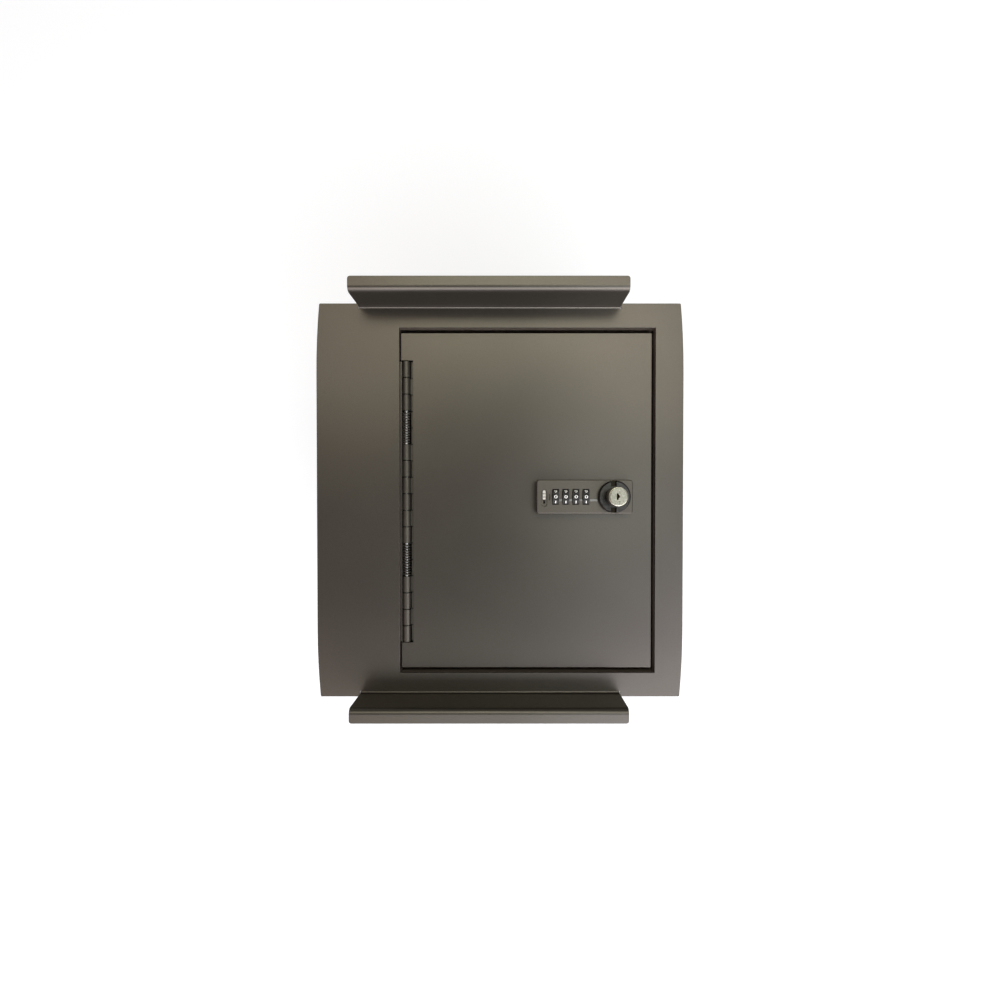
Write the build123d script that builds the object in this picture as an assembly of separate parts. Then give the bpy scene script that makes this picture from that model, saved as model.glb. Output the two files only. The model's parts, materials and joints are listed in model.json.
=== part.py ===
from build123d import *
import math
import os

# Console safe: a steel box hung by two flanges in a vehicle console, with a recessed door on top.
# Millimetres, +Z up. The origin lies on the box's underside, below the middle of the top plate.
# The door's hinge runs along Y on its -X side.

# Sheet steel, and the inside radius of its bends
sheet = 2.66
bend_radius = 1.5

# Top plate, whose long sides are drawn in a little towards the corners
plate_width = 280.0
plate_length = 300.6
plate_draw = 2.3
plate_draw_run = 52.0
plate_corner_radius = 1.0

# Hanger flanges, bent up from the plate's two ends
hanger_width = 199.0
hanger_x = -7.7
hanger_height = 38.1
hanger_lip = 7.75
hanger_corner_radius = 2.0
relief_width = 0.6

# Plate left round the opening, which the box's inner faces follow
rim_left = 63.1
rim_right = 21.3
rim_end = 18.3

# Box under the plate
box_depth = 165.0
bolt_inset_x = 27.8
bolt_inset_y = 32.0
bolt_hole_radius = 4.35

# Floor pad
pad_thickness = 5.0
pad_gap = 2.0
pad_hole_radius = 12.5

# Door plate
door_recess = 3.2
door_end_gap = 3.2
door_free_gap = 2.1
door_ear_gap = 0.8
door_corner_radius = 0.8
door_edge_radius = 0.4
notch_depth_gap = 2.0
notch_end_gap = 0.6

# Continuous hinge, with an odd number of knuckles
hinge_y = -0.8
hinge_pitch = 12.7
hinge_end_room = 20.0
spring_starts = (3, 11)
spring_pitches = 2
pin_radius = 1.59
running_clearance = 0.05
leaf_sheet = 1.52
leaf_length = 22.0
knuckle_end_gap = 0.3
swing_clearance = 0.4
packing_thickness = 1.4
frame_leaf_gap = 0.3

# Hinge springs
spring_wire = 1.3
spring_fit = 0.11
spring_end_gap = 0.4
spring_turns = 11
door_leg_angle = 25.0
door_leg_length = 8.0
frame_leg_angle = 15.0
frame_leg_length = 12.0
pieces_per_turn = 4

# Angles that stiffen the door's free sides, under it
stiffener_depth = 12.0
stiffener_width = 12.0
stiffener_inset = 0.5
stiffener_start = 8.0
stiffener_gap = 1.0

# Door stops, their pads and the strike
ledge_width = 14.0
ledge_drop = 16.0
ledge_start = 8.0
strike_end_gap = 1.0
bumper_radius = 4.0
bumper_height = 2.2
bumper_inset = 22.0
seat_gap = 0.3

# Combination lock housing, on the door
lock_setback = 31.1
lock_y = 3.1
housing_left = 58.0
housing_right = 14.3
housing_width = 25.5
housing_height = 12.5
housing_corner_radius = 2.3
housing_edge_radius = 0.8
barrel_radius = 9.0
barrel_length = 13.0
hub_cavity_radius = 9.0
hub_floor = 1.5
back_plate_thickness = 1.0
back_plate_inset = 1.6
back_plate_end = 10.5

# Number dials
dial_count = 4
dial_pitch = 7.6
first_dial = 43.75
dial_radius = 6.8
dial_width = 4.6
dial_side_gap = 0.15
dial_rim_gap = 0.3
dial_depth = 4.0
dial_digits = 10
dial_groove_radius = 0.5
axle_radius = 1.5
axle_overhang = 2.0
axle_end_gap = 0.2
slot_clearance = 0.02
detent_thickness = 0.3
detent_half_width = 5.6
detent_slot_width = 1.4
detent_root = 2.0
detent_room = 2.0
reading_bar_drop = 2.4
reading_bar_width = 1.6
reading_bar_height = 0.4

# Code slider, left of the dials, with a cap pressed on its stem
slider_x = 52.3
slot_y = -1.2
slot_length = 12.6
slot_width = 4.4
slot_depth = 0.9
slider_roof = 3.0
slider_y = 1.3
slider_travel = 4.8
slider_body_length = 8.0
slider_body_width = 5.0
slider_pocket_length = 16.0
slider_pocket_width = 5.6
stem_width = 1.1
stem_length = 3.0
stem_grip = 0.6
stem_clearance = 0.1
cap_length = 7.0
cap_width = 2.7
cap_lift = 0.1
cap_stand = 0.1
cap_grooves = (-1.5, 0.95)
cap_groove_width = 0.5
cap_groove_depth = 0.4
slit_x = 48.3
slit_width = 0.9
slit_length = 4.9
slit_depth = 1.5

# Fence bar, which the hub pushes towards the dials
fence_distance = 8.3
fence_thickness = 1.8
fence_height = 3.0
fence_start = 44.5
fence_end = 4.5
fence_travel_room = 1.1
fence_gap = 0.4

# Knob and spindle
knob_gap = 0.3
skirt_radius = 12.1
skirt_thickness = 4.0
skirt_chamfer = 1.0
skirt_notch_x = -0.8
skirt_notch_inner = 7.8
skirt_notch_width = 4.2
skirt_notch_depth = 2.8
collar_radius = 7.0
collar_height = 14.85
collar_edge_radius = 0.5
spindle_radius = 5.0
spindle_top = 2.7
hub_radius = 7.2
hub_offset = 0.8
hub_height = 3.2
cam_clearance = 0.5
cam_length = 26.0
cam_width = 16.0
cam_thickness = 3.0
cam_square = 7.0
square_shortfall = 0.1
stud_radius = 3.0
stud_length = 7.4
washer_radius = 7.0
washer_thickness = 1.2
cam_nut_width = 10.0
cam_nut_thickness = 5.0

# Key plug and its wafers
plug_gap = 0.15
plug_head_radius = 6.35
plug_head_thickness = 1.2
plug_head_edge = 0.35
plug_barrel_radius = 4.6
plug_floor = 0.5
plug_end_gap = 0.3
keyway_x = -0.75
keyway_width = 1.3
keyway_length = 4.6
keyway_step = 0.8
keyway_step_y = 0.1
keyway_step_length = 2.1
keyway_floor = 1.0
dimple_radius = 0.6
dimple_x = 0.3
dimple_offset = 3.5
dimple_depth = 0.4
wafer_count = 5
wafer_pitch = 2.3
wafer_thickness = 0.9
wafer_width = 5.0
wafer_length = 7.0
wafer_clearance = 0.1
wafer_first = 1.6

# Lock fasteners
lock_nut_width = 24.0
lock_nut_thickness = 4.5
lock_nut_clearance = 0.05
barrel_hole_clearance = 0.2
fixing_x = 52.3
fixing_y = 9.7
fixing_radius = 1.5
fixing_reach = 5.0
fixing_head_radius = 2.8
fixing_head_height = 2.0
fixing_recess_length = 3.2
fixing_recess_width = 0.8
fixing_recess_depth = 1.1
fixing_hole_clearance = 0.2
plate_screw_radius = 1.0
plate_screw_reach = 4.0
plate_screw_head_radius = 1.7
plate_screw_head_height = 0.6
plate_screw_places = ((12.5, 9.4), (47.2, 9.4), (47.2, -9.4))

# How far cutting and joining blocks run past the faces they meet
overshoot = 1.0

# Levels and sides that follow from the sizes above
plate_bottom = sheet + box_depth
plate_top = plate_bottom + sheet
door_top = plate_top - door_recess
door_bottom = door_top - sheet
opening_left = rim_left - plate_width / 2
opening_right = plate_width / 2 - rim_right
opening_end = plate_length / 2 - rim_end
door_end = opening_end - door_end_gap
door_free = opening_right - door_free_gap
door_ear = opening_left + door_ear_gap
lock_x = door_free - lock_setback
stiffener_bottom = door_top - stiffener_depth
ledge_top = stiffener_bottom - seat_gap - bumper_height
bore_radius = pin_radius + running_clearance
knuckle_radius = bore_radius + leaf_sheet
frame_leaf_face = knuckle_radius + frame_leaf_gap
hinge_x = opening_left + packing_thickness + frame_leaf_face
hinge_z = door_bottom + bore_radius
hinge_pitches = 2 * int((door_end - hinge_end_room) / hinge_pitch) + 1
hinge_length = hinge_pitch * hinge_pitches
hinge_rear = hinge_y + hinge_length / 2
hinge_front = hinge_y - hinge_length / 2
leaf_edge = knuckle_radius + swing_clearance
notch_edge = hinge_x + knuckle_radius + notch_depth_gap
housing_top = door_top + housing_height
dial_z = housing_top - dial_depth
last_dial = first_dial - dial_pitch * (dial_count - 1)
knob_bottom = housing_top + knob_gap
skirt_top = knob_bottom + skirt_thickness
collar_top = skirt_top + collar_height
spindle_end = knob_bottom + spindle_top
hub_bottom = door_top + hub_floor + seat_gap
cam_top = ledge_top - sheet - cam_clearance
cam_bottom = cam_top - cam_thickness


def block(x0, x1, y0, y1, z0, z1):
    """A plain block between two corners."""
    return Pos((x0 + x1) / 2, (y0 + y1) / 2, (z0 + z1) / 2) * Box(abs(x1 - x0), abs(y1 - y0), abs(z1 - z0))


def upright(x, y, radius, z0, z1):
    """A cylinder along Z."""
    return Pos(x, y, (z0 + z1) / 2) * Cylinder(radius, z1 - z0)


def along_x(y, z, radius, x0, x1):
    """A cylinder along X."""
    return Pos((x0 + x1) / 2, y, z) * Rot(0, 90, 0) * Cylinder(radius, x1 - x0)


def along_y(x, z, radius, y0, y1):
    """A cylinder along Y."""
    return Pos(x, (y0 + y1) / 2, z) * Rot(90, 0, 0) * Cylinder(radius, y1 - y0)


def folded_xz(points, thickness, inner_radius, y0, y1):
    """Sheet folded along a line in X and Z, which is its middle, and run from y0 to y1."""
    line = FilletPolyline(*points, radius=inner_radius + thickness / 2)
    profile = trace(line, line_width=thickness)
    return Pos(0, y1, 0) * extrude(Plane.XZ * profile, amount=y1 - y0)


def folded_yz(points, thickness, inner_radius, x0, x1):
    """Sheet folded along a line in Y and Z, which is its middle, and run from x0 to x1."""
    line = FilletPolyline(*points, radius=inner_radius + thickness / 2)
    profile = trace(line, line_width=thickness)
    return Pos(x0, 0, 0) * extrude(Plane.YZ * profile, amount=x1 - x0)


# Top plate with its hangers

def plate_outline():
    """Straight sides that curve in gently over the last run to each corner."""
    half = plate_width / 2
    end = plate_length / 2
    start = end - plate_draw_run
    corner = half - plate_draw
    lines = Line((half, -start), (half, start))
    lines += TangentArc((half, start), (corner, end), tangent=(0, 1))
    lines += Line((corner, end), (-corner, end))
    lines += TangentArc((-half, start), (-corner, end), tangent=(0, 1))
    lines += Line((-half, start), (-half, -start))
    lines += TangentArc((-half, -start), (-corner, -end), tangent=(0, -1))
    lines += Line((-corner, -end), (corner, -end))
    lines += TangentArc((half, -start), (corner, -end), tangent=(0, -1))
    face = make_face(lines)
    corners = [v for v in face.vertices() if abs(abs(v.Y) - end) < 0.01]
    return fillet(corners, radius=plate_corner_radius)


def hanger(side):
    """One flange: up from the plate's end, then outwards in a lip. side is 1 at +Y and -1 at -Y."""
    end = plate_length / 2
    wall = end - sheet / 2
    root = end - sheet - bend_radius
    level = plate_top - sheet / 2
    top = plate_top + hanger_height - sheet / 2
    points = [
        (side * (root - overshoot), level),
        (side * wall, level),
        (side * wall, top),
        (side * (end + hanger_lip), top),
    ]
    x0 = hanger_x - hanger_width / 2
    x1 = hanger_x + hanger_width / 2
    strip = folded_yz(points, sheet, bend_radius, x0, x1)
    tips = [e for e in strip.edges().filter_by(Axis.Z) if abs(e.center().Y) > end + hanger_lip / 2]
    return fillet(tips, radius=hanger_corner_radius)


def make_top_plate():
    plate = Pos(0, 0, plate_bottom) * extrude(plate_outline(), amount=sheet)
    plate -= block(
        opening_left,
        opening_right,
        -opening_end,
        opening_end,
        plate_bottom - overshoot,
        plate_top + overshoot,
    )
    end = plate_length / 2
    root = end - sheet - bend_radius
    half = hanger_width / 2
    for side in (1, -1):
        plate -= block(
            hanger_x - half,
            hanger_x + half,
            side * root,
            side * (end + overshoot),
            plate_bottom - overshoot,
            plate_top + overshoot,
        )
        for x in (hanger_x - half - relief_width, hanger_x + half):
            plate -= block(
                x,
                x + relief_width,
                side * root,
                side * (end + overshoot),
                plate_bottom - overshoot,
                plate_top + overshoot,
            )
        plate += hanger(side)
    return plate


# Box

def bolt_places():
    """The four fixing holes in the floor, set in from its walls."""
    places = []
    for x in (opening_left + bolt_inset_x, opening_right - bolt_inset_x):
        for side in (-1, 1):
            places.append((x, side * (opening_end - bolt_inset_y)))
    return places


def make_box_shell():
    left = opening_left - sheet / 2
    right = opening_right + sheet / 2
    floor = sheet / 2
    points = [(left, plate_bottom), (left, floor), (right, floor), (right, plate_bottom)]
    shell = folded_xz(points, sheet, bend_radius, -opening_end, opening_end)
    for x, y in bolt_places():
        shell -= upright(x, y, bolt_hole_radius, -overshoot, sheet + overshoot)
    return shell


def make_end_wall(side):
    """End wall, cut to the folded shell's outer shape."""
    wall = block(
        opening_left - sheet,
        opening_right + sheet,
        side * opening_end,
        side * (opening_end + sheet),
        0,
        plate_bottom,
    )
    lower = wall.edges().filter_by(Axis.Y).sort_by(Axis.Z)[:2]
    return fillet(lower, radius=bend_radius + sheet)


def make_floor_pad():
    x0 = opening_left + pad_gap
    x1 = opening_right - pad_gap
    y1 = opening_end - pad_gap
    pad = block(x0, x1, -y1, y1, sheet, sheet + pad_thickness)
    for x, y in bolt_places():
        pad -= upright(x, y, pad_hole_radius, 0, sheet + pad_thickness + overshoot)
    return pad


# Door stops and strike, which are angles with their flat leg on top

def make_door_stop(side):
    wall = side * (opening_end - sheet / 2)
    level = ledge_top - sheet / 2
    inner = side * (opening_end - ledge_width)
    points = [(wall, ledge_top - ledge_drop), (wall, level), (inner, level)]
    return folded_yz(points, sheet, bend_radius, hinge_x + ledge_start, opening_right)


def make_strike_angle():
    wall = opening_right - sheet / 2
    level = ledge_top - sheet / 2
    points = [(wall, ledge_top - ledge_drop), (wall, level), (opening_right - ledge_width, level)]
    end = opening_end - ledge_width - strike_end_gap
    return folded_xz(points, sheet, bend_radius, -end, end)


def make_bumpers():
    """Four rubber pads under the angles at the door's ends."""
    pads = []
    for x in (hinge_x + bumper_inset, opening_right - bumper_inset):
        for side in (-1, 1):
            y = side * (door_end - stiffener_inset - sheet / 2)
            pads.append(upright(x, y, bumper_radius, ledge_top, ledge_top + bumper_height))
    return Compound(pads)


# Hinge

def knuckle_owner(index):
    """Which piece fills a pitch of the hinge, counted from the rear: frame, door or spring."""
    for start in spring_starts:
        if start <= index < start + spring_pitches:
            return "spring"
    return "frame" if index % 2 == 0 else "door"


def knuckle_span(index):
    """The front and rear ends of one knuckle."""
    rear = hinge_rear - index * hinge_pitch - knuckle_end_gap / 2
    return rear - hinge_pitch + knuckle_end_gap, rear


def make_hinge_frame_leaf():
    face = hinge_x - frame_leaf_face
    top = hinge_z - leaf_edge
    leaf = block(face, face + leaf_sheet, hinge_front, hinge_rear, hinge_z - leaf_length, top)
    for index in range(hinge_pitches):
        if knuckle_owner(index) == "frame":
            front, rear = knuckle_span(index)
            leaf += block(face, face + leaf_sheet, front, rear, top - overshoot, hinge_z)
            leaf += along_y(hinge_x, hinge_z, knuckle_radius, front, rear)
    for index in range(hinge_pitches):
        if knuckle_owner(index) == "frame":
            front, rear = knuckle_span(index)
            last = index in (0, hinge_pitches - 1)
            leaf -= along_y(
                hinge_x,
                hinge_z,
                pin_radius if last else bore_radius,
                front - overshoot,
                rear + overshoot,
            )
    return leaf


def make_hinge_door_leaf():
    bottom = hinge_z - knuckle_radius
    inner = hinge_x + leaf_edge
    leaf = block(inner, hinge_x + leaf_length, hinge_front, hinge_rear, bottom, door_bottom)
    for index in range(hinge_pitches):
        if knuckle_owner(index) == "door":
            front, rear = knuckle_span(index)
            leaf += block(hinge_x, inner + overshoot, front, rear, bottom, door_bottom)
            leaf += along_y(hinge_x, hinge_z, knuckle_radius, front, rear)
    for index in range(hinge_pitches):
        if knuckle_owner(index) == "door":
            front, rear = knuckle_span(index)
            leaf -= along_y(hinge_x, hinge_z, bore_radius, front - overshoot, rear + overshoot)
    return leaf


def make_hinge_pin():
    return along_y(
        hinge_x,
        hinge_z,
        pin_radius,
        hinge_front + knuckle_end_gap,
        hinge_rear - knuckle_end_gap,
    )


def make_packing_strip():
    return block(
        opening_left,
        opening_left + packing_thickness,
        hinge_front,
        hinge_rear,
        hinge_z - leaf_length,
        hinge_z,
    )


def biarc(start, start_way, end, end_way):
    """Two arcs from start to end, tangent to each other and to the two ways."""
    across = end - start
    a = 2 * (1 - start_way.dot(end_way))
    b = 2 * across.dot(start_way + end_way)
    c = -across.dot(across)
    reach = (-b + math.sqrt(b * b - 4 * a * c)) / (2 * a)
    middle = (start + end + (start_way - end_way) * reach) * 0.5
    first = Edge.make_tangent_arc(start, start_way, middle)
    second = Edge.make_tangent_arc(middle, first % 1, end)
    return [first, second]


def make_hinge_spring(start_index):
    """A torsion spring round the pin, with one leg under the door and one against the frame leaf."""
    radius = pin_radius + spring_fit + spring_wire / 2
    rear = hinge_rear - start_index * hinge_pitch - spring_end_gap - spring_wire / 2
    front = hinge_rear - (start_index + spring_pitches) * hinge_pitch + spring_end_gap + spring_wire / 2
    first_angle = math.radians(270 - door_leg_angle)
    last_angle = math.radians(-frame_leg_angle - 360 * spring_turns)
    turn = last_angle - first_angle
    length = rear - front

    def place(share):
        angle = first_angle + turn * share
        return Vector(
            hinge_x + radius * math.cos(angle),
            rear - length * share,
            hinge_z + radius * math.sin(angle),
        )

    def way(share):
        angle = first_angle + turn * share
        step = Vector(-radius * turn * math.sin(angle), -length, radius * turn * math.cos(angle))
        return step.normalized()

    count = math.ceil(abs(turn) / (2 * math.pi) * pieces_per_turn)
    edges = [Edge.make_line(place(0) - way(0) * door_leg_length, place(0))]
    for i in range(count):
        edges += biarc(place(i / count), way(i / count), place((i + 1) / count), way((i + 1) / count))
    edges.append(Edge.make_line(place(1), place(1) + way(1) * frame_leg_length))
    path = Wire(edges)
    pitch = length / (abs(turn) / (2 * math.pi))
    samples = [place(i / (count * 8)) for i in range(count * 8 + 1)]
    apart = pieces_per_turn * 4
    least = min(
        (p - q).length for i, p in enumerate(samples) for q in samples[i + apart:]
    )
    print("spring pitch", round(pitch, 2), "least gap to itself", round(least - spring_wire, 2))
    section = Plane(path @ 0, z_dir=path % 0) * Circle(spring_wire / 2)
    return sweep(section, path=path)


# Door

def make_door_panel():
    """A flat plate with softened top edges, notched for the hinge barrel."""
    panel = block(door_ear, door_free, -door_end, door_end, door_bottom, door_top)
    panel = fillet(panel.edges().filter_by(Axis.Z), radius=door_corner_radius)
    panel = fillet(panel.faces().sort_by(Axis.Z)[-1].edges(), radius=door_edge_radius)
    panel -= block(
        door_ear - overshoot,
        notch_edge,
        hinge_front - notch_end_gap,
        hinge_rear + notch_end_gap,
        door_bottom - overshoot,
        door_top + overshoot,
    )
    panel -= upright(
        lock_x,
        lock_y,
        barrel_radius + barrel_hole_clearance,
        door_bottom - overshoot,
        door_top + overshoot,
    )
    panel -= upright(
        lock_x - fixing_x,
        lock_y + fixing_y,
        fixing_radius + fixing_hole_clearance,
        door_bottom - overshoot,
        door_top + overshoot,
    )
    return panel


def make_door_stiffeners():
    """Three angles with their flat leg against the door's underside."""
    level = door_bottom - sheet / 2
    outer_y = door_end - stiffener_inset - sheet / 2
    inner_y = door_end - stiffener_inset - stiffener_width
    outer_x = door_free - stiffener_inset - sheet / 2
    inner_x = door_free - stiffener_inset - stiffener_width
    start = hinge_x + stiffener_start
    angles = []
    for side in (-1, 1):
        points = [(side * inner_y, level), (side * outer_y, level), (side * outer_y, stiffener_bottom)]
        angles.append(folded_yz(points, sheet, bend_radius, start, door_free - stiffener_inset))
    points = [(inner_x, level), (outer_x, level), (outer_x, stiffener_bottom)]
    end = inner_y - stiffener_gap
    angles.append(folded_xz(points, sheet, bend_radius, -end, end))
    return Compound(angles)


# Combination lock

def dial_x(index):
    return lock_x - first_dial + dial_pitch * index


def make_lock_housing():
    left = lock_x - housing_left
    right = lock_x + housing_right
    face = RectangleRounded(right - left, housing_width, housing_corner_radius)
    housing = Pos((left + right) / 2, lock_y, door_top) * extrude(face, amount=housing_height)
    rim = housing.faces().sort_by(Axis.Z)[-1].edges()
    housing = fillet(rim, radius=housing_edge_radius)
    housing += upright(lock_x, lock_y, barrel_radius, door_top - barrel_length, door_top + overshoot)
    bar_y = lock_y - reading_bar_drop
    for index in range(dial_count):
        x0 = dial_x(index) + dial_width / 2 + 2 * dial_side_gap
        x1 = x0 + dial_pitch - dial_width - 4 * dial_side_gap
        if index == dial_count - 1:
            x1 = lock_x - skirt_radius - dial_side_gap
        housing += block(
            x0,
            x1,
            bar_y - reading_bar_width / 2,
            bar_y + reading_bar_width / 2,
            housing_top - overshoot,
            housing_top + reading_bar_height,
        )
    pocket = dial_radius + dial_rim_gap
    half = dial_width / 2 + dial_side_gap
    inner = door_top + back_plate_thickness
    for index in range(dial_count):
        x = dial_x(index)
        housing -= along_x(lock_y, dial_z, pocket, x - half, x + half)
    housing -= block(
        dial_x(0) - half,
        dial_x(dial_count - 1) + half,
        lock_y - detent_half_width - slot_clearance,
        lock_y + detent_half_width + slot_clearance,
        inner,
        inner + detent_room,
    )
    axle_slot = axle_radius + slot_clearance
    x0 = dial_x(0) - dial_width / 2 - axle_overhang
    x1 = dial_x(dial_count - 1) + dial_width / 2 + axle_overhang
    housing -= along_x(lock_y, dial_z, axle_slot, x0, x1)
    housing -= block(x0, x1, lock_y - axle_slot, lock_y + axle_slot, inner, dial_z)
    housing -= make_back_plate_blank(0)
    housing -= upright(lock_x, lock_y, hub_cavity_radius, door_top + hub_floor, housing_top + overshoot)
    housing -= upright(
        lock_x,
        lock_y,
        spindle_radius + running_clearance,
        door_top - barrel_length - overshoot,
        housing_top,
    )
    fence_y = lock_y - fence_distance
    channel = (fence_y - fence_thickness - fence_gap, fence_y + fence_travel_room)
    x0 = lock_x - fence_start - fence_gap
    housing -= block(x0, lock_x - back_plate_end, *channel, inner, inner + hub_height + 2 * fence_gap)
    x1 = lock_x + fence_end + fence_gap
    housing -= block(
        lock_x - back_plate_end - overshoot,
        x1,
        *channel,
        door_top + hub_floor,
        inner + hub_height + 2 * fence_gap,
    )
    x = lock_x - slider_x
    y = lock_y + slot_y
    slot = Rot(0, 0, 90) * extrude(SlotOverall(slot_length, slot_width), amount=slot_depth + overshoot)
    housing -= Pos(x, y, housing_top - slot_depth) * slot
    stem_half = stem_length / 2 + stem_clearance
    housing -= block(
        x - stem_width / 2 - stem_clearance,
        x + stem_width / 2 + stem_clearance,
        lock_y + slider_y - slider_travel - stem_half,
        lock_y + slider_y + stem_half,
        housing_top - slider_roof - overshoot,
        housing_top,
    )
    housing -= block(
        x - slider_pocket_width / 2,
        x + slider_pocket_width / 2,
        y - slider_pocket_length / 2,
        y + slider_pocket_length / 2,
        inner,
        housing_top - slider_roof,
    )
    slit = lock_x - slit_x
    housing -= block(
        slit - slit_width / 2,
        slit + slit_width / 2,
        lock_y - slit_length / 2,
        lock_y + slit_length / 2,
        housing_top - slit_depth,
        housing_top + overshoot,
    )
    housing -= upright(
        lock_x - fixing_x,
        lock_y + fixing_y,
        fixing_radius,
        door_top - overshoot,
        door_top + fixing_reach,
    )
    for dx, dy in plate_screw_places:
        housing -= upright(
            lock_x - dx,
            lock_y + dy,
            plate_screw_radius,
            door_top,
            door_top + plate_screw_reach,
        )
    return housing


def make_back_plate_blank(gap):
    x0 = lock_x - housing_left + back_plate_inset + gap
    x1 = lock_x - back_plate_end - gap
    half = housing_width / 2 - back_plate_inset - gap
    return block(x0, x1, lock_y - half, lock_y + half, door_top, door_top + back_plate_thickness)


def make_lock_back_plate():
    """Closes the housing from below. Its two posts hold the axle up in its slot."""
    plate = make_back_plate_blank(seat_gap / 2)
    half = axle_radius - slot_clearance
    for x, way in ((dial_x(0) - dial_width / 2, -1), (dial_x(dial_count - 1) + dial_width / 2, 1)):
        near = x + way * 2 * dial_side_gap
        far = x + way * (axle_overhang - axle_end_gap)
        plate += block(near, far, lock_y - half, lock_y + half, door_top, dial_z - axle_radius)
    plate_face = door_top + back_plate_thickness
    plate -= upright(
        lock_x - fixing_x,
        lock_y + fixing_y,
        fixing_radius + fixing_hole_clearance,
        door_top - overshoot,
        plate_face + overshoot,
    )
    for dx, dy in plate_screw_places:
        plate -= upright(
            lock_x - dx,
            lock_y + dy,
            plate_screw_radius,
            door_top - overshoot,
            plate_face + overshoot,
        )
        plate -= upright(
            lock_x - dx,
            lock_y + dy,
            plate_screw_head_radius,
            door_top - overshoot,
            door_top + plate_screw_head_height,
        )
    return plate


def make_plate_screws():
    screws = []
    for dx, dy in plate_screw_places:
        x = lock_x - dx
        y = lock_y + dy
        screw = upright(x, y, plate_screw_radius, door_top, door_top + plate_screw_reach)
        screw += upright(x, y, plate_screw_head_radius, door_top, door_top + plate_screw_head_height)
        screws.append(screw)
    return Compound(screws)


def make_dial_axle():
    x0 = dial_x(0) - dial_width / 2 - axle_overhang + axle_end_gap
    x1 = dial_x(dial_count - 1) + dial_width / 2 + axle_overhang - axle_end_gap
    return along_x(lock_y, dial_z, axle_radius, x0, x1)


def make_dial(index):
    """A number wheel with a finger groove between each two digits."""
    x = dial_x(index)
    x0 = x - dial_width / 2
    x1 = x + dial_width / 2
    dial = along_x(lock_y, dial_z, dial_radius, x0, x1)
    dial -= along_x(lock_y, dial_z, axle_radius + running_clearance, x0 - overshoot, x1 + overshoot)
    for digit in range(dial_digits):
        angle = 2 * math.pi * (digit + 0.5) / dial_digits
        y = lock_y + dial_radius * math.sin(angle)
        z = dial_z + dial_radius * math.cos(angle)
        dial -= along_x(y, z, dial_groove_radius, x0 - overshoot, x1 + overshoot)
    return dial


def make_detent_spring_plate():
    """A thin plate with one tongue under each dial."""
    half = dial_width / 2
    bottom = door_top + back_plate_thickness
    top = bottom + detent_thickness
    x0 = dial_x(0) - half
    x1 = dial_x(dial_count - 1) + half
    plate = block(x0, x1, lock_y - detent_half_width, lock_y + detent_half_width, bottom, top)
    for index in range(dial_count - 1):
        x = dial_x(index) + dial_pitch / 2
        plate -= block(
            x - detent_slot_width / 2,
            x + detent_slot_width / 2,
            lock_y - detent_half_width + detent_root,
            lock_y + detent_half_width + overshoot,
            bottom - overshoot,
            top + overshoot,
        )
    return plate


def stem_top():
    return housing_top - slot_depth + cap_lift + stem_grip


def make_code_slider():
    """A block under the case's face with a stem up through the slot's floor."""
    x = lock_x - slider_x
    y = lock_y + slider_y
    body_top = housing_top - slider_roof - seat_gap
    slider = block(
        x - slider_body_width / 2,
        x + slider_body_width / 2,
        y - slider_body_length / 2,
        y + slider_body_length / 2,
        door_top + back_plate_thickness + seat_gap,
        body_top,
    )
    slider += block(
        x - stem_width / 2,
        x + stem_width / 2,
        y - stem_length / 2,
        y + stem_length / 2,
        body_top - overshoot,
        stem_top(),
    )
    return slider


def make_slider_cap():
    """The grooved cap, which stands on the stem's end."""
    x = lock_x - slider_x
    y = lock_y + slider_y
    bottom = housing_top - slot_depth + cap_lift
    top = housing_top + cap_stand
    blank = extrude(SlotOverall(cap_length, cap_width), amount=top - bottom)
    cap = Pos(x, y, bottom) * Rot(0, 0, 90) * blank
    cap -= block(
        x - stem_width / 2 - slot_clearance,
        x + stem_width / 2 + slot_clearance,
        y - stem_length / 2 - slot_clearance,
        y + stem_length / 2 + slot_clearance,
        bottom - overshoot,
        stem_top(),
    )
    for groove in cap_grooves:
        cap -= block(
            x - cap_width,
            x + cap_width,
            y + groove - cap_groove_width / 2,
            y + groove + cap_groove_width / 2,
            top - cap_groove_depth,
            top + overshoot,
        )
    return cap


def make_fence_bar():
    y = lock_y - fence_distance
    bottom = hub_bottom
    return block(
        lock_x - fence_start,
        lock_x + fence_end,
        y - fence_thickness,
        y,
        bottom,
        bottom + fence_height,
    )


def make_lock_nut():
    nut = extrude(RegularPolygon(lock_nut_width / 2, 6, major_radius=False), amount=lock_nut_thickness)
    nut = Pos(lock_x, lock_y, door_bottom - lock_nut_thickness) * nut
    bore = barrel_radius + lock_nut_clearance
    return nut - upright(
        lock_x,
        lock_y,
        bore,
        door_bottom - lock_nut_thickness - overshoot,
        door_bottom + overshoot,
    )


def make_fixing_screw():
    x = lock_x - fixing_x
    y = lock_y + fixing_y
    screw = upright(x, y, fixing_radius, door_bottom - overshoot, door_top + fixing_reach)
    head = upright(x, y, fixing_head_radius, door_bottom - fixing_head_height, door_bottom)
    rim = head.edges().sort_by(Axis.Z)[0]
    screw += fillet(rim, radius=fixing_head_height / 3)
    half = fixing_recess_length / 2
    slim = fixing_recess_width / 2
    head_bottom = door_bottom - fixing_head_height
    for reach_x, reach_y in ((half, slim), (slim, half)):
        screw -= block(
            x - reach_x,
            x + reach_x,
            y - reach_y,
            y + reach_y,
            head_bottom - overshoot,
            head_bottom + fixing_recess_depth,
        )
    return screw


# Knob, spindle and cam

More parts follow.
